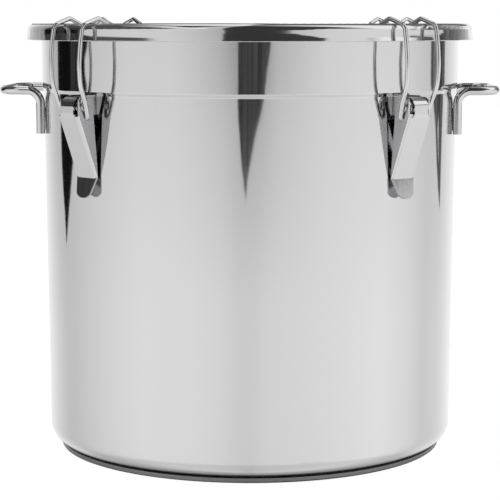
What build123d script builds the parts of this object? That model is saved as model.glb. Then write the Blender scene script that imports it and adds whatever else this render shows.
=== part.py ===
from build123d import *
import os
from math import atan2, cos, degrees, hypot, radians, sin, sqrt, tan

# Stainless steel milk can with a lid that four toggle latches clamp down.
# Millimetres, +Z up. The origin is the centre of the base on the floor, the two carrying
# handles lie on +X and -X, and the latches stand midway between the handles and the
# front (-Y) and back (+Y).

# ---- body ----
body_radius = 176.0        # outside of the wall at its top
wall_draft = 2.8           # how much smaller the wall is where it meets the base
body_wall = 1.0
mouth_height = 354.0       # top of the flange that the gasket seals on
bottom_corner = 16.0       # outside radius between wall and bottom
neck_depth = 47.0          # from the mouth down to the step that stiffens the neck
neck_swell = 1.2
step_slope = 2.7
neck_round = 1.5
flange_reach = 6.2         # how far the flat flange runs out from the neck
flange_curl = 2.2          # outside radius of its turned-down edge

# ---- layered base ----
base_height = 4.0
base_inset = 9.2           # the base disc is this much smaller than the foot of the wall
base_cap_wall = 0.8
base_cap_corner = 1.2

# ---- lid ----
lid_sheet = 1.0
lid_fit = 2.0              # between the flange's edge and the inside of the lid's rim
rim_width = 8.1
rim_rise = 4.2             # how far the rim stands above the ledge
rim_inner_round = 3.0
rim_outer_round = 5.0
ledge_width = 26.1         # flat ring that the bails press on
ledge_round = 1.1
skirt_height = 13.4
skirt_lean = 0.45          # how far the straight part of the skirt leans out
skirt_flare = 1.4          # how far its edge stands out in all
skirt_flare_height = 4.4   # the part that curves outward
skirt_flare_round = 20.0
skirt_edge_round = 0.4
dish_depth = 6.0
dish_round = 5.0

# ---- gasket ----
gasket_lip = 1.5           # thickness of the lip between the flange and the ledge
gasket_gap = 0.3           # free height above the flange before the latches pull down
gasket_side_gap = 0.5
gasket_top_gap = 0.4
gasket_lip_margin = 0.4    # the lip starts this far out from the neck's wall
gasket_outer_chamfer = 2.0
gasket_inner_chamfer = 0.8

# ---- handles ----
rod_radius = 3.75
handle_half_width = 42.0
handle_stand = 35.2        # outermost surface, out from the wall
handle_drop = 48.6         # from the mouth down to the centreline of the arms
tail_length = 36.3         # from that centreline down to the ends of the rod
handle_bend = 11.2
handle_corner = 15.0
weld_width = 3.6
weld_margin = 3.0          # the weld stops short of the tail's end and of its bend

# ---- latches: "out" is away from the wall ----
latch_turn = 45.0          # degrees from the line through the handles
pivot_out = 13.0
pivot_drop = 57.8          # from the mouth down to the lever's pivot
bail_offset = 9.3          # from the lever's pivot to the bail's holes
bail_direction = 261.0     # of that offset, in degrees from straight out
lever_width = 24.8
lever_sheet = 1.5
lever_curl = 7.8           # outside radius of the top tongue about the pivot
lever_knee_drop = 6.9      # from the pivot to where the straight top meets the sloping face
lever_foot_drop = 57.2     # from the pivot to where the sloping face meets the thumb tab
lever_foot_out = 2.2       # how far the face's outside stands off the wall there
lever_knee_round = 12.0
lever_edge_round = 2.2
cheek_foot_out = 1.0       # back edges of the cheeks: near the foot, at the knee, on top
cheek_foot_rise = 10.0
cheek_knee_out = 4.2
cheek_top_out = 8.4
cheek_top_rise = 10.4
tongue_width = 15.4
tongue_past = 2.0          # how far the tongue's end lies inward of the pivot
slot_drop = 7.8            # from the pivot to the rounded foot of the slots
slot_round = 2.9
slot_wrap = 2.3            # how far the slots run round the corners into the cheeks
tab_length = 16.4
tab_end_width = 17.0       # between the ends of the rounded edge
tab_end_rise = 3.6         # height of that rounded edge
tab_kick = 16.5            # degrees that the tab leans out
tab_corner = 2.0
bracket_sheet = 1.5
bracket_web = 1.7          # the back, at its middle, where it follows the curved wall
bracket_above = 8.8        # from the pivot to the bracket's top
bracket_below = 6.5
bracket_nose = 6.0         # radius of the ears about the pivot
bracket_shoulder = 9.5     # how far out the full-height part of the ears goes
ear_gap = 0.5              # between the ears and the lever's cheeks
pin_radius = 2.5
pin_fit = 0.05
pin_head_radius = 3.6
pin_head_height = 1.1
pin_head_round = 0.88
pin_head_gap = 0.1

# ---- bails ----
wire_radius = 1.8
wire_fit = 0.05
wire_gap = 0.5             # between the legs and the lever's cheeks
tip_past = 0.2             # how far the wire's tips stand inside the cheeks
bail_half_width = 18.2
bail_taper = 1.2           # how much narrower each leg is where it leaves the foot
bail_bow = 9.3             # how far the legs bow out past the pivot
bail_legs = [              # shares along each leg: of its rise, of its bow and of its taper
    (0.18, 0.32, 1.0),
    (0.35, 0.88, 0.35),
    (0.58, 1.0, 0.1),
    (0.80, 0.85, 0.0),
]
bail_rim_out = 6.1         # the legs' top, out from the rim
bail_rim_drop = 1.2        # and down from the lid's top
bail_bends = [2.6, 25.0, 30.0, 50.0, 40.0, 6.0, 4.0, 5.0]
bail_peak_in = 1.5         # the highest bend, in from the rim's inside
bail_peak_rise = 4.2
hook_reach = 14.6          # the bar that presses on the lid, in from the rim's inside
hook_clear = 0.35          # between that bar and the lid at rest

# ---- sizes that follow from those ----
neck_radius = body_radius + neck_swell
flange_end = neck_radius + flange_reach
step_high = mouth_height - neck_depth
step_low = step_high - step_slope
foot_radius = body_radius - wall_draft
base_radius = foot_radius - base_inset

ledge_height = mouth_height + gasket_gap + gasket_lip + lid_sheet
lid_top = ledge_height + rim_rise
rim_outer = flange_end + flange_curl + lid_fit + lid_sheet
rim_inner = rim_outer - rim_width
skirt_bottom = lid_top - skirt_height
skirt_turn = skirt_bottom + skirt_flare_height

handle_reach = body_radius + handle_stand
handle_height = mouth_height - handle_drop
tail_bottom = handle_height - tail_length

pivot_r = body_radius + pivot_out
pivot_height = mouth_height - pivot_drop
hole_r = pivot_r + bail_offset * cos(radians(bail_direction))
hole_z = pivot_height + bail_offset * sin(radians(bail_direction))
lever_front = pivot_r + lever_curl
lever_knee = pivot_height - lever_knee_drop
lever_foot = pivot_height - lever_foot_drop
lever_foot_front = body_radius + lever_foot_out
lever_inside = lever_width / 2 - lever_sheet
slot_bottom = pivot_height - slot_drop
bracket_width = 2 * (lever_inside - ear_gap)
bracket_top = pivot_height + bracket_above
bracket_bottom = pivot_height - bracket_below
cut_past = 20.0            # cuts run this far past what they cut
snap = 0.5                 # an edge this close to a face is taken to lie on it


def offset_points(points, distance):
    """Points of a polyline moved sideways: to the right of its direction if positive."""
    moved = []
    for i, (x, y) in enumerate(points):
        turns = []
        for a, b in ((i - 1, i), (i, i + 1)):
            if a >= 0 and b < len(points):
                dx = points[b][0] - points[a][0]
                dy = points[b][1] - points[a][1]
                length = hypot(dx, dy)
                turns.append((dy / length, -dx / length))
        nx = sum(n[0] for n in turns) / len(turns)
        ny = sum(n[1] for n in turns) / len(turns)
        scale = distance / (nx * nx + ny * ny)
        moved.append((x + nx * scale, y + ny * scale))
    return moved


def corner_signs(points):
    """+1 at each corner that turns left, -1 at each that turns right."""
    signs = []
    for a, b, c in zip(points[:-2], points[1:-1], points[2:]):
        cross = (b[0] - a[0]) * (c[1] - b[1]) - (b[1] - a[1]) * (c[0] - b[0])
        signs.append(1 if cross > 0 else -1)
    return signs


def sheet_face(points, radii, thickness):
    """Section of a bent sheet: points and radii are its outside, thickness goes to the right."""
    inner = offset_points(points, thickness)
    sharp = 0.05
    inner_radii = [max(r + s * thickness, sharp) for r, s in zip(radii, corner_signs(points))]
    with BuildSketch(Plane.XZ) as section:
        with BuildLine():
            FilletPolyline(*points, radius=radii)
            FilletPolyline(*inner, radius=inner_radii)
            Line(points[0], inner[0])
            Line(points[-1], inner[-1])
        make_face()
    return section.sketch


def turned(section):
    return revolve(section, axis=Axis.Z, revolution_arc=360)


def write(shape, name):
    shape.label = name
    export_step(shape, f"parts/{name}.step")


# ---- body and base ----
def make_body():
    """Drawn shell: flat bottom, tapered wall, swelled neck and a flange with a turned edge."""
    outside = [
        (flange_end, mouth_height - body_wall),
        (neck_radius, mouth_height - body_wall),
        (neck_radius, step_high),
        (body_radius, step_low),
        (foot_radius, base_height),
        (0, base_height),
    ]
    shell = turned(sheet_face(outside, [neck_round] * 3 + [bottom_corner], body_wall))
    middle = mouth_height - flange_curl
    with BuildSketch(Plane.XZ) as section:
        with Locations((flange_end, middle)):
            Circle(flange_curl)
            Circle(flange_curl - body_wall, mode=Mode.SUBTRACT)
        with Locations((flange_end - flange_curl, middle)):
            Rectangle(2 * flange_curl, 3 * flange_curl, mode=Mode.SUBTRACT)
    return shell + turned(section.sketch)


def filled_body():
    """Everything inside the outside of the wall and the neck, to cut what is welded on."""
    drop = step_low - base_height
    wall = Pos(0, 0, base_height + drop / 2) * Cone(foot_radius, body_radius, drop)
    rise = mouth_height - step_low
    return wall + Pos(0, 0, step_low + rise / 2) * Cylinder(neck_radius, rise)


def make_base_core():
    thickness = base_height - base_cap_wall
    disc = Cylinder(base_radius - base_cap_wall, thickness)
    disc = fillet(disc.edges().sort_by(Axis.Z)[0], base_cap_corner - base_cap_wall)
    return Pos(0, 0, base_cap_wall + thickness / 2) * disc


def make_base_cap():
    outside = [(0, 0), (base_radius, 0), (base_radius, base_height)]
    return turned(sheet_face(outside, [base_cap_corner], -base_cap_wall))


# ---- lid and gasket ----
def make_lid():
    dish_height = ledge_height - dish_depth
    dish_edge = rim_inner - ledge_width
    outside = [
        (0, dish_height),
        (dish_edge - dish_depth, dish_height),
        (dish_edge, ledge_height),
        (rim_inner, ledge_height),
        (rim_inner, lid_top),
        (rim_outer, lid_top),
        (rim_outer + skirt_lean, skirt_turn),
        (rim_outer + skirt_flare, skirt_bottom),
    ]
    radii = [dish_round, dish_round, ledge_round, rim_inner_round, rim_outer_round, skirt_flare_round]
    lid = turned(sheet_face(outside, radii, lid_sheet))
    widest = lid.edges().filter_by(GeomType.CIRCLE).sort_by(lambda e: e.radius)[-1]
    return fillet(widest, skirt_edge_round)


def make_gasket():
    """Silicone ring: a thick bead inside the rim and a thin lip under the ledge."""
    bottom = mouth_height + gasket_gap
    lip_top = bottom + gasket_lip
    lip_inner = neck_radius + gasket_lip_margin
    bead_inner = rim_inner + lid_sheet + gasket_side_gap
    bead_outer = rim_outer - lid_sheet - gasket_side_gap
    bead_top = lid_top - lid_sheet - gasket_top_gap
    with BuildSketch(Plane.XZ) as section:
        with BuildLine():
            Polyline(
                (lip_inner, bottom),
                (bead_outer, bottom),
                (bead_outer, lip_top),
                (bead_outer - gasket_outer_chamfer, bead_top),
                (bead_inner + gasket_inner_chamfer, bead_top),
                (bead_inner, lip_top),
                (lip_inner, lip_top),
                close=True,
            )
        make_face()
    return turned(section.sketch)


# ---- handles ----
def make_handle(side):
    """Bent rod on +X (side 1) or -X (side -1): two arms, a grip and two welded tails."""
    half = handle_half_width
    tail_out = sqrt((body_radius + rod_radius) ** 2 - half**2)
    grip_out = handle_reach - rod_radius
    route = FilletPolyline(
        (side * tail_out, -half, tail_bottom),
        (side * tail_out, -half, handle_height),
        (side * grip_out, -half, handle_height),
        (side * grip_out, half, handle_height),
        (side * tail_out, half, handle_height),
        (side * tail_out, half, tail_bottom),
        radius=[handle_bend, handle_corner, handle_corner, handle_bend],
    )
    rod = sweep(Plane(route @ 0, z_dir=route % 0) * Circle(rod_radius), path=route)
    weld_bottom = tail_bottom + weld_margin
    weld_top = handle_height - handle_bend - weld_margin
    weld = Box(2 * rod_radius, weld_width, weld_top - weld_bottom)
    weld = Pos(body_radius + rod_radius / 4, 0, (weld_bottom + weld_top) / 2) * weld
    facing = 0 if side > 0 else 180
    spread = degrees(atan2(half, tail_out))
    for turn in (facing - spread, facing + spread):
        rod += Rot(0, 0, turn) * weld - filled_body()
    return rod


# ---- latches, modelled on the +X side and then turned into place ----
def across(radius, width, r, z):
    """Cylinder that runs across the latch, centred on its middle plane."""
    return Pos(r, 0, z) * Rot(90, 0, 0) * Cylinder(radius, width)


def slab(points, width, radii):
    """Closed side outline made solid across the latch."""
    with BuildSketch(Plane.XZ) as section:
        with BuildLine():
            Polyline(*points, close=True)
        make_face()
        for vertex, radius in radii:
            near = section.vertices().sort_by_distance(vertex)[0]
            fillet(near, radius)
    return extrude(section.sketch, amount=width / 2, both=True)


def make_bracket():
    """U-shaped bracket welded to the wall, with an ear on each side of the tongue."""
    middle = (bracket_top + bracket_bottom) / 2
    height = bracket_top - bracket_bottom
    with BuildSketch(Plane.XZ) as section:
        with Locations((body_radius + bracket_shoulder, middle)):
            Rectangle(1.5 * bracket_shoulder, height, align=(Align.MAX, Align.CENTER))
        with Locations((pivot_r, pivot_height)):
            Circle(bracket_nose)
        make_hull()
    solid = extrude(section.sketch, amount=bracket_width / 2, both=True)
    room = pivot_out + cut_past
    inside = Pos(body_radius + bracket_web + room / 2, 0, middle)
    solid -= inside * Box(room, bracket_width - 2 * bracket_sheet, height + cut_past)
    solid -= filled_body()
    return solid - across(pin_radius, bracket_width + cut_past, pivot_r, pivot_height)


def make_pin():
    """Rivet through the ears and the lever, with a domed head on each side."""
    half = lever_width / 2 + pin_head_gap
    pin = across(pin_radius, 2 * half + pin_head_height, pivot_r, pivot_height)
    for side in (1, -1):
        head = Cylinder(pin_head_radius, pin_head_height)
        head = fillet(head.edges().sort_by(Axis.Z)[-1], pin_head_round)
        out = half + pin_head_height / 2
        pin += Pos(pivot_r, side * out, pivot_height) * Rot(-90 * side, 0, 0) * head
    return pin


def make_lever():
    """Pressed channel: curled tongue, two cheeks that taper away and a thumb tab."""
    depth = lever_front - lever_foot_front
    slope = depth / (lever_knee - lever_foot)
    lean = atan2(depth, lever_knee - lever_foot)
    skew = lever_sheet / cos(lean)
    top = pivot_height + lever_curl
    tongue_end = pivot_r - tongue_past
    outline = [
        (tongue_end, top),
        (lever_front, top),
        (lever_front, lever_knee),
        (lever_foot_front, lever_foot),
        (lever_foot_front - skew, lever_foot),
        (body_radius + cheek_foot_out, lever_foot + cheek_foot_rise),
        (body_radius + cheek_knee_out, lever_knee),
        (body_radius + cheek_top_out, lever_knee + cheek_top_rise),
    ]
    rounds = [((lever_front, top), lever_curl), ((lever_front, lever_knee), lever_knee_round)]
    solid = slab(outline, lever_width, rounds)
    sides = solid.edges().filter_by(lambda e: abs(abs(e.center().Y) - lever_width / 2) < snap)
    solid = fillet(sides.filter_by(lambda e: on_front(e, slope)), lever_edge_round)

    inner_top = top - lever_sheet
    inner_front = lever_front - lever_sheet
    inner_knee = lever_knee - lever_sheet * tan(lean / 2)
    hollow = [
        (tongue_end - cut_past, inner_top),
        (inner_front, inner_top),
        (inner_front, inner_knee),
        (lever_foot_front - skew - slope * cut_past, lever_foot - cut_past),
        (tongue_end - 2 * cut_past, lever_foot - cut_past),
    ]
    rounds = [
        ((inner_front, inner_top), lever_curl - lever_sheet),
        ((inner_front, inner_knee), lever_knee_round - lever_sheet),
    ]
    solid -= slab(hollow, 2 * lever_inside, rounds)

    slot_foot = slot_bottom + slot_round
    slot_height = top - slot_foot + cut_past
    slot_middle = slot_foot + slot_height / 2
    corner_r = lever_front - slot_wrap + cut_past / 2
    for side in (1, -1):
        gap = lever_inside - tongue_width / 2
        beside = Pos(pivot_r, side * (tongue_width + gap) / 2, slot_middle)
        solid -= beside * Box(2 * lever_curl + cut_past, gap, slot_height)
        corner = Pos(corner_r, side * (tongue_width + cut_past) / 2, slot_middle)
        solid -= corner * Box(cut_past, cut_past, slot_height)
        foot = Pos(corner_r, side * (tongue_width / 2 + slot_round), slot_foot)
        solid -= foot * Rot(0, 90, 0) * Cylinder(slot_round, cut_past)
    solid += make_tab()
    solid -= across(pin_radius + pin_fit, lever_width + cut_past, pivot_r, pivot_height)
    return solid - across(wire_radius + wire_fit, lever_width + cut_past, hole_r, hole_z)


def on_front(edge, slope):
    """True for the outline edges along the tongue, the straight top and the sloping face."""
    r, z = edge.center().X, edge.center().Z
    face = min(lever_front, lever_foot_front + slope * (z - lever_foot))
    near_top = z > pivot_height and hypot(r - pivot_r, z - pivot_height) > lever_curl - snap
    return r > face - snap or (near_top and r > pivot_r - tongue_past / 2)


def make_tab():
    """Thumb tab below the channel, leaning out so that a finger gets behind it."""
    lean = radians(tab_kick)
    outward = (cos(lean), 0, sin(lean))
    foot = Plane((lever_foot_front, 0, lever_foot), x_dir=(0, -1, 0), z_dir=outward)
    overlap = 0.4 * lever_sheet
    side_end = tab_length - tab_end_rise
    with BuildSketch(foot) as face:
        with BuildLine():
            Polyline(
                (-tab_end_width / 2, side_end),
                (-lever_width / 2, -overlap),
                (lever_width / 2, -overlap),
                (tab_end_width / 2, side_end),
            )
            ThreePointArc(
                (tab_end_width / 2, side_end), (0, tab_length), (-tab_end_width / 2, side_end)
            )
        make_face()
        fillet(face.vertices().group_by(Axis.Y)[-1], tab_corner)
    return extrude(face.sketch, amount=-lever_sheet)


def make_bail():
    """One bent wire: tips in the lever's holes, two bowed legs and a bar over the rim."""
    bar_height = ledge_height + hook_clear + wire_radius
    rise = lid_top - hole_z
    half = bail_half_width
    foot_half = lever_width / 2 + wire_gap + wire_radius
    leg = [
        (hole_r, lever_inside - tip_past, hole_z),
        (hole_r, foot_half, hole_z),
    ]
    for up, bow, taper in bail_legs:
        leg.append((pivot_r + bow * bail_bow, half - taper * bail_taper, hole_z + up * rise))
    leg += [
        (rim_outer + bail_rim_out, half, lid_top - bail_rim_drop),
        (rim_inner - bail_peak_in, half, lid_top + bail_peak_rise),
        (rim_inner - hook_reach, half, bar_height),
    ]
    other = [(r, -t, z) for r, t, z in reversed(leg)]
    route = FilletPolyline(*leg, *other, radius=bail_bends + bail_bends[::-1])
    return sweep(Plane(route @ 0, z_dir=route % 0) * Circle(wire_radius), path=route)


def main():
    os.makedirs("parts", exist_ok=True)
    write(make_body(), "can_body")
    write(make_base_core(), "base_core")
    write(make_base_cap(), "base_cap")
    write(make_lid(), "lid_shell")
    write(make_gasket(), "lid_gasket")
    write(make_handle(1), "handle_right")
    write(make_handle(-1), "handle_left")
    latch = {
        "latch_bracket": make_bracket(),
        "latch_pin": make_pin(),
        "latch_lever": make_lever(),
        "latch_bail": make_bail(),
    }
    places = {
        "front_left": 180 + latch_turn,
        "front_right": 360 - latch_turn,
        "back_right": latch_turn,
        "back_left": 180 - latch_turn,
    }
    for place, angle in places.items():
        for piece, shape in latch.items():
            write(Rot(0, 0, angle) * shape, f"{piece}_{place}")


main()
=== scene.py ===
import bpy
import bmesh
from math import cos, pi, radians, sin, sqrt
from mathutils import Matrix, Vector


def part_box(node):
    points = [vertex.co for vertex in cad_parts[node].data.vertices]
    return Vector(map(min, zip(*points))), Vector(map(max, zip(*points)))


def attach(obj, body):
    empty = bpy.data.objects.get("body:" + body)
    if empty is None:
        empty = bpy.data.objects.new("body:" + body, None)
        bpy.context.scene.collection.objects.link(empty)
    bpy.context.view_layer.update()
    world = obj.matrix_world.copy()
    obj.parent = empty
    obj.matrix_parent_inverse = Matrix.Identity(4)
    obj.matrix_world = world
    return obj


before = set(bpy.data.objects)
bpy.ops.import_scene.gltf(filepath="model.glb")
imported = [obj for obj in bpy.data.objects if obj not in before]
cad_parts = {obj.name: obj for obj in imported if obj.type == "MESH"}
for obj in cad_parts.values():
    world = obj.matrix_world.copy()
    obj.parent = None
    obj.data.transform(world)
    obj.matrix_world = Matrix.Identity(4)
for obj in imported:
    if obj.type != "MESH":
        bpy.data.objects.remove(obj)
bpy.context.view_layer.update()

mm = 0.001
white = (1.0, 1.0, 1.0, 1.0)
# numbers of sockets that share a name: the two floats of Mix and of Random Value, the two colours
# of Mix, and then the outputs
firstFloat, secondFloat, firstColour, secondColour = 2, 3, 6, 7
mixedColour, randomFloat = 2, 1
print("frame loaded:", len(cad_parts), "nodes")


def hexColour(code):
    # linear light from an sRGB hex value
    channels = [int(code[i:i + 2], 16) / 255 for i in (1, 3, 5)]
    linear = [c / 12.92 if c <= 0.04045 else ((c + 0.055) / 1.055) ** 2.4 for c in channels]
    return (*linear, 1.0)


def perMetre(size):
    # a pattern's scale, from the real size of its grain in millimetres
    return 1000.0 / size


def addNode(tree, kind, settings=None, values=None, links=None):
    # settings are the node's own options, values its unlinked sockets, links socket -> output
    node = tree.nodes.new(kind)
    for key, value in (settings or {}).items():
        setattr(node, key, value)
    for key, value in (values or {}).items():
        node.inputs[key].default_value = value
    for key, output in (links or {}).items():
        tree.links.new(output, node.inputs[key])
    return node


def newMaterial(name):
    material = bpy.data.materials.new(name)
    material.use_nodes = True
    material.node_tree.nodes.clear()
    return material, material.node_tree


def linkObject(name, data):
    item = bpy.data.objects.new(name, data)
    bpy.context.scene.collection.objects.link(item)
    return item


# 304 stainless reflects a little over half of the light, so what it mirrors twice turns dark.
# The wave is the width of the sheet's ripples and waveDepth their depth, in millimetres
polish = {
    "mirrorSheet": {"colour": "#c6c6c7", "rough": 0.06, "wave": 70.0, "waveDepth": 0.020},
    "pressedLid": {"colour": "#c6c6c6", "rough": 0.07, "wave": 45.0, "waveDepth": 0.010},
    "latchStrip": {"colour": "#c4c4c5", "rough": 0.09, "wave": 14.0, "waveDepth": 0.006, "scuffed": True},
    "bentRod": {"colour": "#c6c6c7", "rough": 0.045, "wave": 22.0, "waveDepth": 0.003},
    "springWire": {"colour": "#c6c6c7", "rough": 0.04, "wave": 12.0, "waveDepth": 0.001},
    "rivetHead": {"colour": "#bdbdbe", "rough": 0.14, "wave": 4.0, "waveDepth": 0.004},
}
# upright buffing lines in millimetres, coarser than the real ones, which are too fine to show.
# They take the roughness from its least share to its most while their noise goes from low to high
buffing = {"width": 1.11, "length": 18.5, "low": 0.35, "high": 0.65, "least": 0.85, "most": 1.25}
# scuffs on the thumb tab, in millimetres and, for the skew, degrees: they fade in over the blend,
# below the knee, which is measured from the lever's lower end
scuff = {"width": 2.4, "length": 9.6, "depth": 0.05, "skew": (50, 20, 35), "knee": 15.6, "blend": 1.5}


def polishedSteel(name, facts):
    # 304 stainless, buffed to a mirror: shallow waves bend the reflections a little, and the
    # buffing lines spread them, more in some places than in others
    material, tree = newMaterial(name)
    place = addNode(tree, "ShaderNodeTexCoord")
    waves = addNode(tree, "ShaderNodeTexNoise", {}, {"Scale": perMetre(facts["wave"]), "Detail": 1.0},
                    {"Vector": place.outputs["Object"]})
    upright = addNode(tree, "ShaderNodeMapping", {},
                      {"Scale": (1.0, 1.0, buffing["width"] / buffing["length"])},
                      {"Vector": place.outputs["Object"]})
    lines = addNode(tree, "ShaderNodeTexNoise", {}, {"Scale": perMetre(buffing["width"]), "Detail": 4.0},
                    {"Vector": upright.outputs["Vector"]})
    spread = addNode(tree, "ShaderNodeMapRange", {},
                     {"From Min": buffing["low"], "From Max": buffing["high"],
                      "To Min": facts["rough"] * buffing["least"],
                      "To Max": facts["rough"] * buffing["most"]},
                     {"Value": lines.outputs["Fac"]})
    bend = addNode(tree, "ShaderNodeBump", {}, {"Strength": 1.0, "Distance": facts["waveDepth"] * mm},
                   {"Height": waves.outputs["Fac"]})
    if facts.get("scuffed"):
        bend = scuffedTab(tree, place, bend)
    shader = addNode(tree, "ShaderNodeBsdfPrincipled", {},
                     {"Base Color": hexColour(facts["colour"]), "Metallic": 1.0},
                     {"Roughness": spread.outputs["Result"], "Normal": bend.outputs["Normal"]})
    addNode(tree, "ShaderNodeOutputMaterial", {}, {}, {"Surface": shader.outputs["BSDF"]})
    return material


def scuffedTab(tree, place, bend):
    # below the knee the thumb tab is worn by use: scuffs that run askew break up its mirror
    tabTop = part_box("latch_lever_front_left")[0][2] + scuff["knee"] * mm
    skewed = addNode(tree, "ShaderNodeMapping", {},
                     {"Rotation": [radians(angle) for angle in scuff["skew"]],
                      "Scale": (1.0, 1.0, scuff["width"] / scuff["length"])},
                     {"Vector": place.outputs["Object"]})
    scuffs = addNode(tree, "ShaderNodeTexNoise", {}, {"Scale": perMetre(scuff["width"]), "Detail": 2.0},
                     {"Vector": skewed.outputs["Vector"]})
    rise = addNode(tree, "ShaderNodeSeparateXYZ", {}, {}, {0: place.outputs["Object"]})
    tab = addNode(tree, "ShaderNodeMapRange", {},
                  {"From Min": tabTop, "From Max": tabTop - scuff["blend"] * mm},
                  {"Value": rise.outputs["Z"]})
    return addNode(tree, "ShaderNodeBump", {}, {"Distance": scuff["depth"] * mm},
                   {"Height": scuffs.outputs["Fac"], "Strength": tab.outputs["Result"],
                    "Normal": bend.outputs["Normal"]})


# rings of the turned disc, in two greys darkened as painted shade, whose difference is the rings' grain:
# the width and depth of a groove are in millimetres
turned = {"shadedValley": "#6a6a6b", "shadedRidge": "#757576", "rough": 0.34, "groove": 0.5, "grooveDepth": 0.012}


def brushedShadedDisc():
    # 430 stainless cap of the base, turned against an abrasive pad: fine rings give a satin
    # sheen instead of a mirror. Its steel is painted far darker than the rest, as painted shade for
    # the shadowed table near the foot that it mirrors
    material, tree = newMaterial("brushedShadedDisc")
    place = addNode(tree, "ShaderNodeTexCoord")
    part = addNode(tree, "ShaderNodeSeparateXYZ", {}, {}, {0: place.outputs["Object"]})
    flat = addNode(tree, "ShaderNodeCombineXYZ", {}, {}, {0: part.outputs["X"], 1: part.outputs["Y"]})
    reach = addNode(tree, "ShaderNodeVectorMath", {"operation": "LENGTH"}, {}, {0: flat.outputs[0]})
    ring = addNode(tree, "ShaderNodeCombineXYZ", {}, {},
                   {0: reach.outputs["Value"], 1: part.outputs["Z"]})
    grooves = addNode(tree, "ShaderNodeTexNoise", {}, {"Scale": perMetre(turned["groove"]), "Detail": 3.0},
                      {"Vector": ring.outputs[0]})
    # painted shade: both greys sit far below the steel's own colour
    tint = addNode(tree, "ShaderNodeMix", {"data_type": "RGBA"},
                   {firstColour: hexColour(turned["shadedValley"]), secondColour: hexColour(turned["shadedRidge"])},
                   {0: grooves.outputs["Fac"]})
    bend = addNode(tree, "ShaderNodeBump", {}, {"Distance": turned["grooveDepth"] * mm},
                   {"Height": grooves.outputs["Fac"]})
    shader = addNode(tree, "ShaderNodeBsdfPrincipled", {}, {"Metallic": 1.0, "Roughness": turned["rough"]},
                     {"Base Color": tint.outputs[mixedColour], "Normal": bend.outputs["Normal"]})
    addNode(tree, "ShaderNodeOutputMaterial", {}, {}, {"Surface": shader.outputs["BSDF"]})
    return material


# materials with an even grain, whose width and depth are in millimetres
grained = {
    # 1050 aluminium plate, rolled, bonded under the bottom and closed in by its cap: a dull grey
    "rolledAluminium": {"dark": "#b4b5b7", "light": "#c9cacc", "grain": 0.714, "grainDepth": 0.02,
                        "shader": {"Metallic": 1.0, "Roughness": 0.42}},
    # TIG weld, wire-brushed: bright steel with a faint straw tint and a rough, rippled skin
    "brushedWeld": {"dark": "#b9b7b3", "light": "#cbcac8", "grain": 0.625, "grainDepth": 0.03,
                    "shader": {"Metallic": 1.0, "Roughness": 0.24}},
    # food-grade silicone, moulded: a soft, slightly cloudy off-white with a dull sheen
    "mouldedSilicone": {"dark": "#d9d8d2", "light": "#e6e5e0", "grain": 3.33, "grainDepth": 0.02,
                        "shader": {"Roughness": 0.45, "IOR": 1.41, "Subsurface Weight": 0.2,
                                   "Subsurface Scale": 2 * mm}},
}


def grainedMaterial(name, facts):
    material, tree = newMaterial(name)
    place = addNode(tree, "ShaderNodeTexCoord")
    grain = addNode(tree, "ShaderNodeTexNoise", {}, {"Scale": perMetre(facts["grain"]), "Detail": 3.0},
                    {"Vector": place.outputs["Object"]})
    tint = addNode(tree, "ShaderNodeMix", {"data_type": "RGBA"},
                   {firstColour: hexColour(facts["dark"]), secondColour: hexColour(facts["light"])},
                   {0: grain.outputs["Fac"]})
    bend = addNode(tree, "ShaderNodeBump", {}, {"Distance": facts["grainDepth"] * mm},
                   {"Height": grain.outputs["Fac"]})
    shader = addNode(tree, "ShaderNodeBsdfPrincipled", {}, facts["shader"],
                     {"Base Color": tint.outputs[mixedColour], "Normal": bend.outputs["Normal"]})
    addNode(tree, "ShaderNodeOutputMaterial", {}, {}, {"Surface": shader.outputs["BSDF"]})
    return material


finishes = {name: polishedSteel(name, facts) for name, facts in polish.items()}
finishes["brushedShadedDisc"] = brushedShadedDisc()
finishes.update((name, grainedMaterial(name, facts)) for name, facts in grained.items())
# a node takes the finish of the piece that its name starts with
finishOf = {
    "can_body": "mirrorSheet", "base_cap": "brushedShadedDisc", "base_core": "rolledAluminium",
    "lid_shell": "pressedLid", "lid_gasket": "mouldedSilicone", "handle": "bentRod",
    "latch_bracket": "latchStrip", "latch_pin": "rivetHead", "latch_lever": "latchStrip",
    "latch_bail": "springWire",
}
for name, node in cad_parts.items():
    for start, finish in finishOf.items():
        if name.startswith(start):
            node.data.materials.clear()
            node.data.materials.append(finishes[finish])
print("materials done")

# The rod's tails are welded to the wall along the sides that are turned away from the front.
# Sizes are in millimetres: low and high are above the handle's lowest point, aside is from the
# tail's middle, and reach is from the can's axis. Each drop is scaled by a random share from
# smallest to largest
weld = {"pitch": 1.5, "length": 1.5, "thickness": 0.75, "smallest": 0.86, "largest": 1.1, "seed": 11,
        "segments": 12, "rings": 8, "rodRadius": 3.75, "aside": 4.3, "reach": 177.3, "low": 5.0,
        "high": 18.0}


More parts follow.
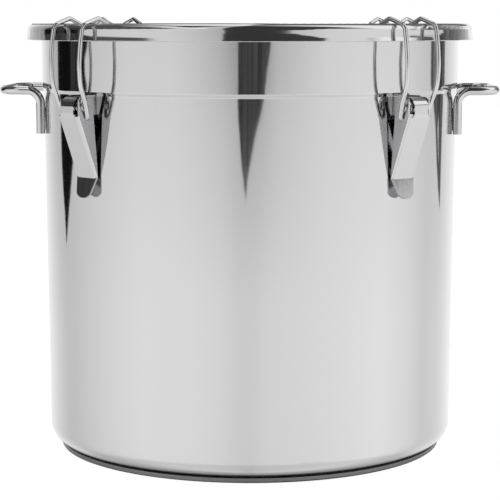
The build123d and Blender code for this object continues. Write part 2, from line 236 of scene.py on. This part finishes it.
def weldTree():
    # flattened drops, one beside another along each line
    tree = bpy.data.node_groups.new("weldRipples", "GeometryNodeTree")
    sockets = {}
    for title, kind in (("Geometry", "NodeSocketGeometry"), ("Pitch", "NodeSocketFloat"),
                        ("Drop Length", "NodeSocketFloat"), ("Drop Thickness", "NodeSocketFloat"),
                        ("Seed", "NodeSocketInt"), ("Metal", "NodeSocketMaterial")):
        sockets[title] = tree.interface.new_socket(name=title, in_out="INPUT", socket_type=kind)
    tree.interface.new_socket(name="Geometry", in_out="OUTPUT", socket_type="NodeSocketGeometry")
    entry = addNode(tree, "NodeGroupInput")
    path = addNode(tree, "GeometryNodeMeshToCurve", {}, {}, {0: entry.outputs["Geometry"]})
    drops = addNode(tree, "GeometryNodeResampleCurve", {"mode": "LENGTH"}, {},
                    {"Curve": path.outputs[0], "Length": entry.outputs["Pitch"]})
    ball = addNode(tree, "GeometryNodeMeshUVSphere", {},
                   {"Segments": weld["segments"], "Rings": weld["rings"], "Radius": 1.0})
    size = addNode(tree, "ShaderNodeCombineXYZ", {}, {},
                   {0: entry.outputs["Drop Thickness"], 1: entry.outputs["Drop Length"],
                    2: entry.outputs["Drop Length"]})
    uneven = addNode(tree, "FunctionNodeRandomValue", {"data_type": "FLOAT"},
                     {firstFloat: weld["smallest"], secondFloat: weld["largest"]},
                     {"Seed": entry.outputs["Seed"]})
    grown = addNode(tree, "ShaderNodeVectorMath", {"operation": "SCALE"}, {},
                    {0: size.outputs[0], "Scale": uneven.outputs[randomFloat]})
    placed = addNode(tree, "GeometryNodeInstanceOnPoints", {}, {},
                     {"Points": drops.outputs[0], "Instance": ball.outputs[0],
                      "Scale": grown.outputs[0]})
    real = addNode(tree, "GeometryNodeRealizeInstances", {}, {}, {0: placed.outputs[0]})
    dressed = addNode(tree, "GeometryNodeSetMaterial", {}, {},
                      {"Geometry": real.outputs[0], "Material": entry.outputs["Metal"]})
    addNode(tree, "NodeGroupOutput", {}, {}, {0: dressed.outputs[0]})
    return tree, sockets


def weldLines():
    # one upright line for each of the four tails, where its rear side meets the wall
    made = bmesh.new()
    for side, sign in (("left", -1), ("right", 1)):
        lowest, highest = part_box(f"handle_{side}")
        tailMiddle = highest[1] - weld["rodRadius"] * mm
        for tail in (-1, 1):
            y = tail * tailMiddle + weld["aside"] * mm
            x = sign * sqrt((weld["reach"] * mm) ** 2 - y ** 2)
            ends = [made.verts.new((x, y, lowest[2] + weld[end] * mm)) for end in ("low", "high")]
            made.edges.new(ends)
    mesh = bpy.data.meshes.new("weldLines")
    made.to_mesh(mesh)
    made.free()
    return linkObject("weldLines", mesh)


def weldRipples():
    lines = weldLines()
    tree, sockets = weldTree()
    modifier = lines.modifiers.new("weldRipples", "NODES")
    modifier.node_group = tree
    values = {"Pitch": weld["pitch"] * mm, "Drop Length": weld["length"] * mm,
              "Drop Thickness": weld["thickness"] * mm, "Seed": weld["seed"],
              "Metal": finishes["brushedWeld"]}
    for title, value in values.items():
        modifier[sockets[title].identifier] = value
    bpy.context.view_layer.update()
    held = lines.evaluated_get(bpy.context.evaluated_depsgraph_get())
    beads = linkObject("handle_welds", bpy.data.meshes.new_from_object(held))
    lines.modifiers.remove(modifier)
    bpy.data.objects.remove(lines)
    for face in beads.data.polygons:
        face.use_smooth = True
    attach(beads, "can")
    print("weld ripples done:", len(beads.data.polygons), "faces")


weldRipples()

# What the steel mirrors: cards on a ring round the can, seen by nothing else. Heights are in
# millimetres and bearings in degrees from -Y towards +X. Some cards hang before the others
cardRing = {"radius": 1200.0, "before": 8.0, "columns": 12}
# dark flags: a row is (height, bearing of the left edge, bearing of the right edge)
flags = [
    {"name": "flagLeftHigh", "tone": 0.06, "fold": 18.0, "rows": [
        (900, -119.5, -76.0), (640, -119.5, -80.0), (440, -119.5, -85.0)]},
    {"name": "flagLeft", "tone": 0.008, "fold": 30.0, "rows": [
        (440, -119.5, -85.0), (400, -119.5, -87.0), (330, -119.5, -89.3), (310, -119.6, -92.0),
        (290, -119.6, -91.9), (272, -119.4, -89.8), (158, -118.9, -105.3), (115, -117.8, -108.6),
        (79, -116.0, -111.7), (36, -114.9, -114.7)]},
    {"name": "flagFront", "tone": 0.085, "fold": 16.0, "rows": [
        (420, -3.8, 12.6), (332, -3.7, 12.2), (306, -3.7, 10.8), (274, -3.8, 9.3), (242, -4.1, 8.9),
        (220, -3.8, 7.4), (194, -3.2, 5.0), (160, -2.4, 2.6), (133, -1.2, 0.7), (108, 0.0, 0.1)]},
    {"name": "flagRight", "tone": 0.12, "fold": 20.0, "rows": [
        (900, 98.0, 129.5), (640, 103.5, 129.5), (457, 107.0, 129.0), (400, 109.5, 128.0),
        (350, 110.3, 127.4), (272, 110.5, 127.6), (243, 115.0, 127.8), (201, 118.5, 127.4),
        (158, 120.7, 126.9), (114, 123.6, 126.9), (88, 126.2, 126.6)]},
]
# a pale gap in the right flag, made as a card that hangs before it
paleGap = {"name": "gapRight", "tone": 0.8, "fold": 8.0, "rows": [
    (222, 121.6, 121.7), (201, 121.1, 122.4), (172, 122.3, 122.9), (150, 123.2, 123.3)]}
# straight strips that hang before the flags: (name, tone, left bearing, right bearing, top, bottom)
stripHeights = (640, 255)
strips = [("stripLeftA", 0.06, -104.9, -102.7, *stripHeights),
          ("stripLeftB", 0.09, -101.8, -100.8, *stripHeights),
          ("stripLeftC", 0.07, -99.8, -98.8, *stripHeights),
          ("stripRight", 0.25, 112.6, 116.2, 640, 258)]
stripCloth = {"fold": 8.0}
# what the ends of the rim mirror, and the neck doesn't
fadeHeights = (1000, 345)
fades = [("fadeLeftA", 0.44, -124.0, -119.0, *fadeHeights),
         ("fadeLeftB", 0.52, -130.0, -124.0, *fadeHeights),
         ("fadeLeftC", 0.60, -137.0, -130.0, *fadeHeights),
         ("fadeLeftD", 0.72, -145.0, -137.0, *fadeHeights),
         ("fadeRightA", 0.20, 117.0, 122.0, *fadeHeights),
         ("fadeRightB", 0.27, 122.0, 127.0, *fadeHeights),
         ("fadeRightC", 0.38, 127.0, 132.0, *fadeHeights),
         ("fadeRightD", 0.50, 132.0, 138.0, *fadeHeights),
         ("fadeRightE", 0.66, 138.0, 144.0, *fadeHeights)]
fadeCloth = {"fold": 16.0, "depth": 0.4}
# what the thumb tab of the front right lever mirrors
tabBearings = (84.0, 102.0)
tabCards = [("tabShade", 0.13, *tabBearings, 640, 571), ("tabGlow", 0.80, *tabBearings, 571, 500)]
tabCloth = {"fold": 5.0, "depth": 0.6, "stretch": 0.5}
# Folds of a card's cloth: their width comes with the card, stretch makes them longer than wide, and
# depth is how strong they are. They take the tone down by a share and up by a share of itself,
# while their noise goes from low to high
clothFolds = {"stretch": 0.04, "depth": 1.0, "low": 0.35, "high": 0.7, "darker": 0.6, "brighter": 0.8}


def cardCloth(facts):
    facts = {**clothFolds, **facts}
    material, tree = newMaterial(facts["name"] + "Cloth")
    place = addNode(tree, "ShaderNodeTexCoord")
    hanging = addNode(tree, "ShaderNodeMapping", {}, {"Scale": (1.0, 1.0, facts["stretch"])},
                      {"Vector": place.outputs["Object"]})
    folds = addNode(tree, "ShaderNodeTexNoise", {}, {"Scale": perMetre(facts["fold"]), "Detail": 2.0},
                    {"Vector": hanging.outputs["Vector"]})
    shade = addNode(tree, "ShaderNodeMapRange", {},
                    {"From Min": facts["low"], "From Max": facts["high"],
                     "To Min": facts["tone"] * (1 - facts["darker"] * facts["depth"]),
                     "To Max": facts["tone"] * (1 + facts["brighter"] * facts["depth"])},
                    {"Value": folds.outputs["Fac"]})
    glow = addNode(tree, "ShaderNodeEmission", {}, {"Color": white}, {"Strength": shade.outputs["Result"]})
    addNode(tree, "ShaderNodeOutputMaterial", {}, {}, {"Surface": glow.outputs["Emission"]})
    return material


def hideFromAllButMirrors(card):
    card.visible_camera = False
    card.visible_diffuse = False
    card.visible_shadow = False


def onRing(bearing, height, radius):
    turn = radians(bearing)
    return Vector((radius * sin(turn), -radius * cos(turn), height)) * mm


def curvedCard(facts, radius):
    made = bmesh.new()
    columns = cardRing["columns"]
    rows = []
    for height, left, right in facts["rows"]:
        rows.append([made.verts.new(onRing(left + (right - left) * i / columns, height, radius))
                     for i in range(columns + 1)])
    for upper, lower in zip(rows, rows[1:]):
        for i in range(columns):
            made.faces.new((lower[i], lower[i + 1], upper[i + 1], upper[i]))
    mesh = bpy.data.meshes.new(facts["name"])
    made.to_mesh(mesh)
    made.free()
    card = linkObject(facts["name"], mesh)
    mesh.materials.append(cardCloth(facts))
    hideFromAllButMirrors(card)


def straightCards(cards, cloth, radius):
    for name, tone, left, right, top, bottom in cards:
        rows = [(top, left, right), (bottom, left, right)]
        curvedCard({"name": name, "tone": tone, "rows": rows, **cloth}, radius)


for facts in flags:
    curvedCard(facts, cardRing["radius"])
nearer = cardRing["radius"] - cardRing["before"]
straightCards(strips, stripCloth, nearer)
curvedCard(paleGap, nearer)
straightCards(fades, fadeCloth, nearer)
straightCards(tabCards, tabCloth, nearer)

# a soft light above the left handle, for the upper side of its rod
overHandle = {"name": "overHandle", "tone": 1.3, "fold": 200.0, "left": -330.0, "right": -215.0,
              "front": -800.0, "back": -60.0, "height": 700.0}


def overheadCard(facts):
    corners = [(facts[x] * mm, facts[y] * mm, facts["height"] * mm) for x, y in
               (("left", "front"), ("right", "front"), ("right", "back"), ("left", "back"))]
    mesh = bpy.data.meshes.new(facts["name"])
    mesh.from_pydata(corners, [], [(3, 2, 1, 0)])
    card = linkObject(facts["name"], mesh)
    mesh.materials.append(cardCloth(facts))
    hideFromAllButMirrors(card)


overheadCard(overHandle)

circleSides = 96
# painted shadow: a dark disc, seen by nothing else, in place of the can's contact shadow on the table,
# which the foot of the can mirrors. It is solid out to one radius, gone at the other, and lies a little
# below the floor
paintedFootShadow = {"solid": 159.0, "end": 173.0, "tone": 0.13, "drop": 0.5}


def footShade():
    bpy.ops.mesh.primitive_circle_add(vertices=circleSides, radius=paintedFootShadow["end"] * mm, fill_type="NGON",
                                      location=(0, 0, -paintedFootShadow["drop"] * mm))
    patch = bpy.context.object
    patch.name = "paintedFootShadow"
    material, tree = newMaterial("paintedFootShadow")
    place = addNode(tree, "ShaderNodeTexCoord")
    reach = addNode(tree, "ShaderNodeVectorMath", {"operation": "LENGTH"}, {}, {0: place.outputs["Object"]})
    fade = addNode(tree, "ShaderNodeMapRange", {"interpolation_type": "SMOOTHSTEP"},
                   {"From Min": paintedFootShadow["solid"] * mm, "From Max": paintedFootShadow["end"] * mm},
                   {"Value": reach.outputs["Value"]})
    # the painted shadow: a dim glow where the table lies in the can's shadow
    dark = addNode(tree, "ShaderNodeEmission", {}, {"Color": white, "Strength": paintedFootShadow["tone"]})
    clear = addNode(tree, "ShaderNodeBsdfTransparent")
    blend = addNode(tree, "ShaderNodeMixShader", {}, {},
                    {0: fade.outputs["Result"], 1: dark.outputs[0], 2: clear.outputs[0]})
    addNode(tree, "ShaderNodeOutputMaterial", {}, {}, {"Surface": blend.outputs[0]})
    patch.data.materials.append(material)
    hideFromAllButMirrors(patch)


footShade()

# The floor is matte, with a share of plain white for the camera, so that shadows stay faint, and
# a share of nothing for mirrors, which see the low part of the room through it
paleFloor = {"radius": 6000.0, "colour": "#f4f4f4", "white": 1.06, "whiteShare": 0.9, "clearShare": 0.85}


def makeFloor():
    material, tree = newMaterial("paleFloor")
    rays = addNode(tree, "ShaderNodeLightPath")
    plain = addNode(tree, "ShaderNodeEmission", {}, {"Color": white, "Strength": paleFloor["white"]})
    matte = addNode(tree, "ShaderNodeBsdfDiffuse", {}, {"Color": hexColour(paleFloor["colour"])})
    clear = addNode(tree, "ShaderNodeBsdfTransparent")
    seen = addNode(tree, "ShaderNodeMath", {"operation": "MULTIPLY"}, {1: paleFloor["whiteShare"]},
                   {0: rays.outputs["Is Camera Ray"]})
    mirrored = addNode(tree, "ShaderNodeMath", {"operation": "MULTIPLY"}, {1: paleFloor["clearShare"]},
                       {0: rays.outputs["Is Glossy Ray"]})
    lit = addNode(tree, "ShaderNodeMixShader", {}, {},
                  {0: seen.outputs[0], 1: matte.outputs[0], 2: plain.outputs[0]})
    blend = addNode(tree, "ShaderNodeMixShader", {}, {},
                    {0: mirrored.outputs[0], 1: lit.outputs[0], 2: clear.outputs[0]})
    addNode(tree, "ShaderNodeOutputMaterial", {}, {}, {"Surface": blend.outputs[0]})
    bpy.ops.mesh.primitive_circle_add(vertices=circleSides, radius=paleFloor["radius"] * mm,
                                      fill_type="NGON")
    floor = bpy.context.object
    floor.name = "floor"
    floor.data.materials.append(material)


makeFloor()

# the room that the steel mirrors: a stop is (bearing from -Y towards +X in degrees, value)
room = {
    # values from the horizon up to the roof's edge, and below the horizon
    "eyeLevel": [
        (-180, 0.62), (-155, 0.72), (-140, 0.58), (-132, 0.48), (-124, 0.50), (-108, 0.60), (-91, 0.67),
        (-66, 0.76), (-40, 0.76), (-28, 0.68), (-14, 0.54), (-8, 0.44), (-4, 0.36), (8, 0.36), (13, 0.46),
        (17, 0.56), (24, 0.62), (32, 0.69), (43, 0.78), (64, 0.82), (93, 0.80), (105, 0.72), (122, 0.62),
        (134, 0.64), (146, 0.76), (160, 0.80), (180, 0.62)],
    "low": [
        (-180, 0.74), (-167, 0.74), (-150, 0.80), (-135, 0.72), (-124, 0.64), (-114, 0.66), (-100, 0.76),
        (-80, 0.87), (-60, 0.94), (-30, 0.91), (-14, 0.86), (-4, 0.78), (4, 0.78), (11, 0.84), (41, 0.90),
        (64, 0.96), (80, 1.0), (100, 0.90), (116, 0.75), (134, 0.78), (154, 0.86), (180, 0.74)],
    # degrees above the horizon where the roof's tone starts
    "roofEdge": [
        (-180, 5), (-166, 7), (-156, 26), (-146, 36), (-137, 30), (-128, 5), (-96, 5), (-86, 11),
        (-60, 16), (-42, 24), (-34, 60), (-28, 85), (-14, 85), (-11, 1), (10, 1), (15, 2), (22, 4),
        (27, 9), (33, 14), (45, 24), (58, 24), (72, 14), (98, 14), (106, 26), (136, 26), (144, 20),
        (162, 9), (180, 7)],
    "roof": [
        (-180, 0.16), (-140, 0.20), (-132, 0.08), (-96, 0.09), (-60, 0.09), (-34, 0.05), (-12, 0.04),
        (10, 0.04), (58, 0.06), (74, 1.0), (100, 1.0), (128, 0.95), (138, 0.16), (180, 0.12)],
    "roofBlur": 2.5,
    # the room's values stay under this one, and the roof's edge under the zenith
    "brightest": 1.2, "zenith": 90.0,
    # degrees from the horizon between which eye level turns to low, and low to its deep share
    "lowFrom": -0.5, "lowTo": -10.0, "deepFrom": -30.0, "deepTo": -44.0, "deep": 0.8,
    # what makes up for the steel's own colour
    "level": 1.39,
}
# A bright window overhead, in the parts of a direction: left and right are along X, and the sill
# is the least sum of Z and a share of Y
window = {"left": -0.34, "right": 0.02, "blur": 0.05, "sill": 1.0, "share": 0.414, "tone": 1.10}


def ringRamp(tree, bearing, stops, top):
    # a value between 0 and top that follows the bearing
    node = addNode(tree, "ShaderNodeValToRGB", {}, {}, {"Fac": bearing})
    ramp = node.color_ramp
    for angle, value in stops[1:-1]:
        ramp.elements.new((angle + 180) / 360)
    for element, (angle, value) in zip(ramp.elements, stops):
        element.color = (value / top, value / top, value / top, 1.0)
    scaled = addNode(tree, "ShaderNodeMath", {"operation": "MULTIPLY"}, {1: top},
                     {0: node.outputs["Color"]})
    return scaled.outputs[0]


def wallsAndRoof(tree, split):
    # the room's tone by bearing and by height above the horizon, both from the direction's parts
    front = addNode(tree, "ShaderNodeMath", {"operation": "MULTIPLY"}, {1: -1.0}, {0: split.outputs["Y"]})
    turn = addNode(tree, "ShaderNodeMath", {"operation": "ARCTAN2"}, {},
                   {0: split.outputs["X"], 1: front.outputs[0]})
    bearing = addNode(tree, "ShaderNodeMapRange", {}, {"From Min": -pi, "From Max": pi},
                      {"Value": turn.outputs[0]}).outputs["Result"]
    rise = addNode(tree, "ShaderNodeMath", {"operation": "ARCSINE"}, {}, {0: split.outputs["Z"]})
    height = addNode(tree, "ShaderNodeMath", {"operation": "DEGREES"}, {}, {0: rise.outputs[0]}).outputs[0]
    eyeLevel = ringRamp(tree, bearing, room["eyeLevel"], room["brightest"])
    low = ringRamp(tree, bearing, room["low"], room["brightest"])
    roof = ringRamp(tree, bearing, room["roof"], room["brightest"])
    edge = ringRamp(tree, bearing, room["roofEdge"], room["zenith"])
    down = addNode(tree, "ShaderNodeMapRange", {},
                   {"From Min": room["lowFrom"], "From Max": room["lowTo"]}, {"Value": height})
    wall = addNode(tree, "ShaderNodeMix", {"data_type": "FLOAT"}, {},
                   {0: down.outputs["Result"], firstFloat: eyeLevel, secondFloat: low})
    deep = addNode(tree, "ShaderNodeMapRange", {"interpolation_type": "SMOOTHSTEP"},
                   {"From Min": room["deepFrom"], "From Max": room["deepTo"], "To Min": 1.0,
                    "To Max": room["deep"]}, {"Value": height})
    lower = addNode(tree, "ShaderNodeMath", {"operation": "MULTIPLY"}, {},
                    {0: wall.outputs[0], 1: deep.outputs["Result"]})
    over = addNode(tree, "ShaderNodeMath", {"operation": "SUBTRACT"}, {}, {0: height, 1: edge})
    up = addNode(tree, "ShaderNodeMapRange", {"interpolation_type": "SMOOTHSTEP"},
                 {"From Min": 0.0, "From Max": room["roofBlur"]}, {"Value": over.outputs[0]})
    return addNode(tree, "ShaderNodeMix", {"data_type": "FLOAT"}, {},
                   {0: up.outputs["Result"], firstFloat: lower.outputs[0], secondFloat: roof})


def windowSide(tree, value, limit, blur):
    # 0 outside the limit and 1 inside it, where the blur's sign says which side is inside
    return addNode(tree, "ShaderNodeMapRange", {"interpolation_type": "SMOOTHSTEP"},
                   {"From Min": limit, "From Max": limit + blur}, {"Value": value}).outputs["Result"]


def withWindow(tree, split, behind):
    # the window's tone where a direction is inside all three of its sides
    part = addNode(tree, "ShaderNodeMath", {"operation": "MULTIPLY"}, {1: window["share"]},
                   {0: split.outputs["Y"]})
    lift = addNode(tree, "ShaderNodeMath", {"operation": "ADD"}, {},
                   {0: split.outputs["Z"], 1: part.outputs[0]})
    inside = windowSide(tree, lift.outputs[0], window["sill"] - window["blur"] / 2, window["blur"])
    for limit, blur in ((window["left"], window["blur"]), (window["right"], -window["blur"])):
        side = windowSide(tree, split.outputs["X"], limit, blur)
        inside = addNode(tree, "ShaderNodeMath", {"operation": "MULTIPLY"}, {},
                         {0: inside, 1: side}).outputs[0]
    return addNode(tree, "ShaderNodeMix", {"data_type": "FLOAT"}, {secondFloat: window["tone"]},
                   {0: inside, firstFloat: behind.outputs[0]})


def roomLight():
    # mirrors see the room, while the backdrop is white and the rest of the light is even
    world = bpy.data.worlds.new("studio")
    bpy.context.scene.world = world
    world.use_nodes = True
    tree = world.node_tree
    tree.nodes.clear()
    direction = addNode(tree, "ShaderNodeTexCoord").outputs["Generated"]
    split = addNode(tree, "ShaderNodeSeparateXYZ", {}, {}, {0: direction})
    whole = withWindow(tree, split, wallsAndRoof(tree, split))
    tone = addNode(tree, "ShaderNodeMath", {"operation": "MULTIPLY"}, {1: room["level"]},
                   {0: whole.outputs[0]})
    rays = addNode(tree, "ShaderNodeLightPath")
    mirrored = addNode(tree, "ShaderNodeBackground", {}, {"Color": white}, {"Strength": tone.outputs[0]})
    plain = addNode(tree, "ShaderNodeBackground", {}, {"Color": white, "Strength": 1.0})
    blend = addNode(tree, "ShaderNodeMixShader", {}, {},
                    {0: rays.outputs["Is Glossy Ray"], 1: plain.outputs[0], 2: mirrored.outputs[0]})
    addNode(tree, "ShaderNodeOutputWorld", {}, {}, {"Surface": blend.outputs[0]})


roomLight()

# camera: lengths in millimetres, pitch down and yaw towards +X in degrees
view = {"distance": 1569.0, "height": 363.0, "pitch": 7.17, "yaw": 2.05, "lens": 130.97, "sensor": 36.0,
        "farthest": 50000.0}


def placeCamera():
    optics = bpy.data.cameras.new("camera")
    optics.lens = view["lens"]
    optics.sensor_width = view["sensor"]
    optics.clip_end = view["farthest"] * mm
    camera = linkObject("camera", optics)
    camera.location = onRing(view["yaw"], view["height"], view["distance"])
    camera.rotation_euler = (pi / 2 - radians(view["pitch"]), 0, radians(view["yaw"]))
    bpy.context.scene.camera = camera


placeCamera()
bpy.context.scene.view_settings.view_transform = "Standard"
print("studio done")
